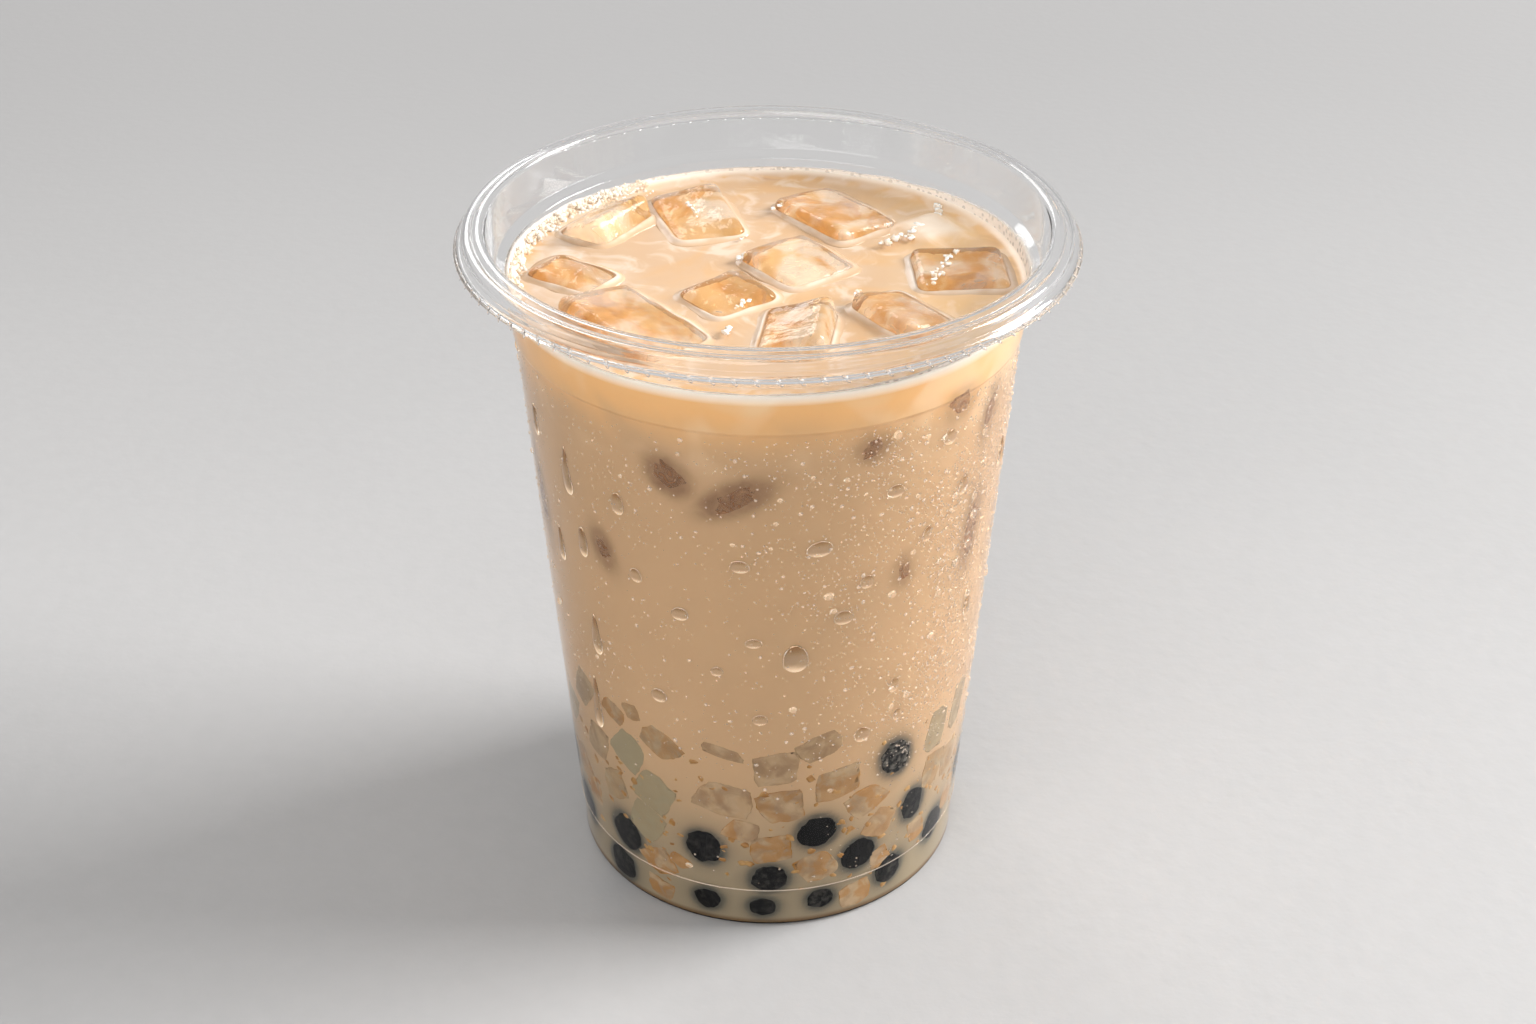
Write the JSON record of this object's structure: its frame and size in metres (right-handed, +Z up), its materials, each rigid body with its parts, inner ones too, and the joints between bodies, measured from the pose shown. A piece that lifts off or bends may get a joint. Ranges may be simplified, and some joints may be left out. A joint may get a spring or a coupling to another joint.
{
  "type": "bubble tea in a clear plastic cup",
  "caption": "Open clear plastic cup with a flanged brim, filled with iced milk tea, with ice cubes standing out of the surface.",
  "frame": {"origin": "centre of the base, on the surface the cup stands on", "axes": "+Z up along the cup's axis; -Y towards the side that the drink is seen from"},
  "size_m": [0.1016, 0.1016, 0.1214],
  "materials": {
    "cup": "clear, thin and glossy, beaded with condensation",
    "tea": "opaque milk tea, wet and smooth",
    "ice": "clear wet ice with milk tea showing through",
    "pearls": "glossy black tapioca",
    "jelly": "translucent grey-beige jelly with brown edges",
    "water": "clear condensation drops"
  },
  "bodies": {
    "root": {"cup": "cup", "tea": "tea", "ice_1": "ice", "ice_2": "ice", "ice_3": "ice", "ice_4": "ice", "ice_5": "ice", "ice_6": "ice", "ice_7": "ice", "ice_8": "ice", "ice_9": "ice", "ice_10": "ice", "ice_11": "ice"}
  },
  "joints": []
}
